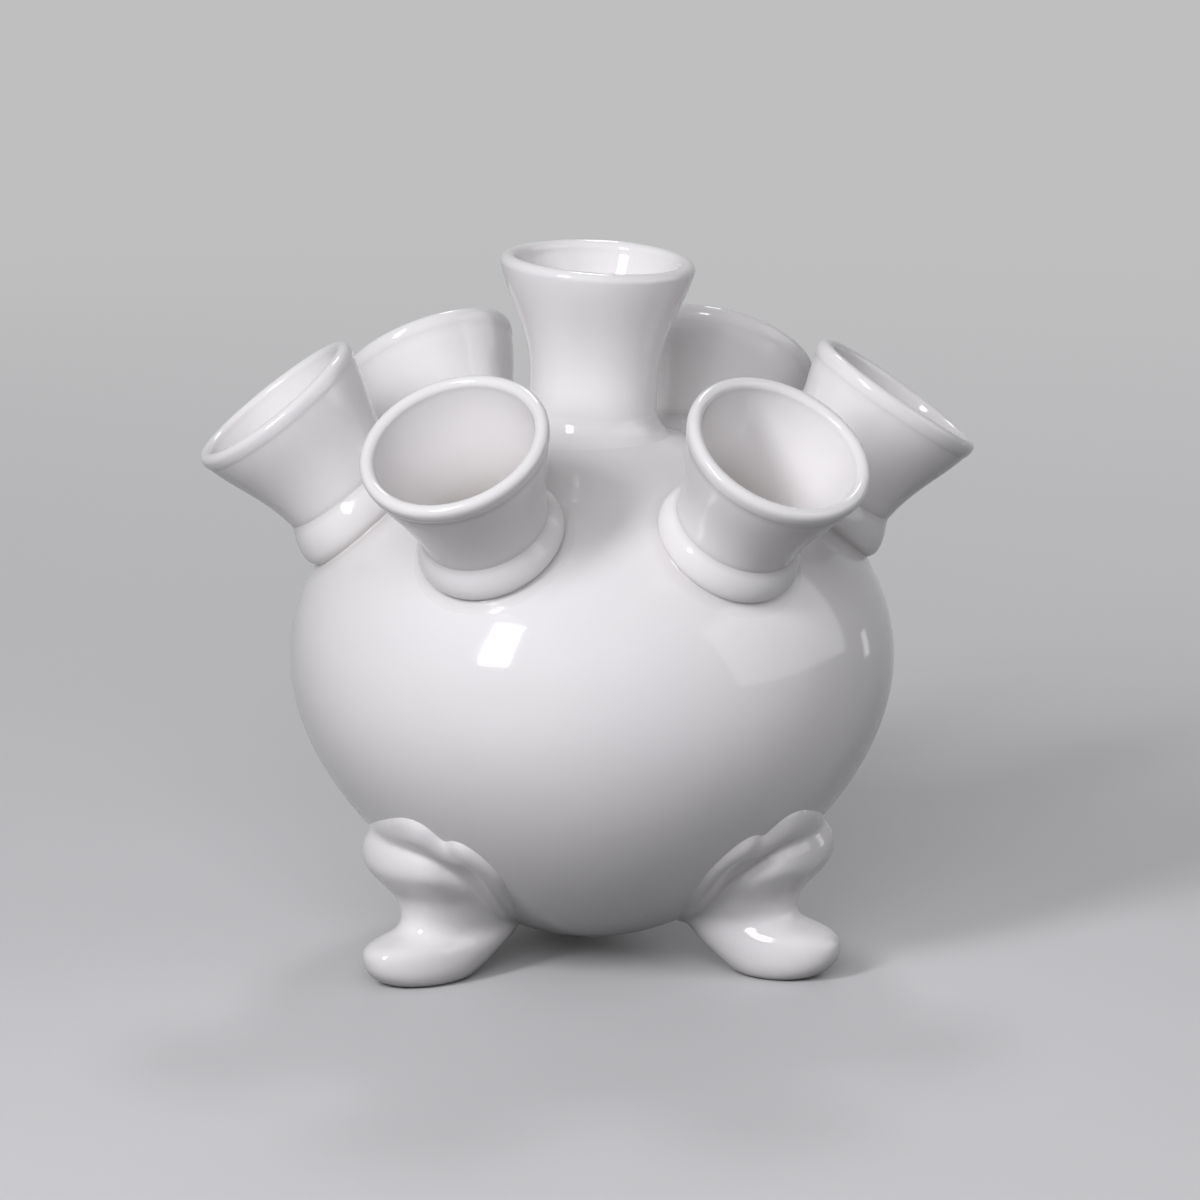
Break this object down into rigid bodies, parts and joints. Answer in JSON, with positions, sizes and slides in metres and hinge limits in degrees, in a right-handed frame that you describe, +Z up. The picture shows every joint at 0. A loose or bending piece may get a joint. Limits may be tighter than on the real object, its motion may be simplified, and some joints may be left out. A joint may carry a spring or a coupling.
{
  "type": "tulip vase",
  "caption": "White glazed pottery tulip vase: a hollow globe on scrolled, leaf-topped feet, with trumpet spouts leaning outwards round an upright spout, joined by luted collars.",
  "frame": {"origin": "on the globe's axis at the level of the soles, about a millimetre from the middle of the footprint", "axes": "+Z is up along the globe's axis; +X runs from the left spout to the right spout as seen in the picture; the front, between the front pair of spouts and the front pair of feet, faces -Y"},
  "size_m": [0.1706, 0.1525, 0.1581],
  "materials": {
    "glaze": "glossy white tin-style glaze over white earthenware"
  },
  "bodies": {
    "root": {"body": "glaze", "spout_center": "glaze", "spout_front_left": "glaze", "spout_front_right": "glaze", "spout_left": "glaze", "spout_right": "glaze", "spout_back_left": "glaze", "spout_back_right": "glaze", "collar_front_left": "glaze", "collar_front_right": "glaze", "collar_left": "glaze", "collar_right": "glaze", "collar_back_left": "glaze", "collar_back_right": "glaze", "foot_left": "glaze", "foot_right": "glaze", "foot_back": "glaze"}
  },
  "joints": []
}
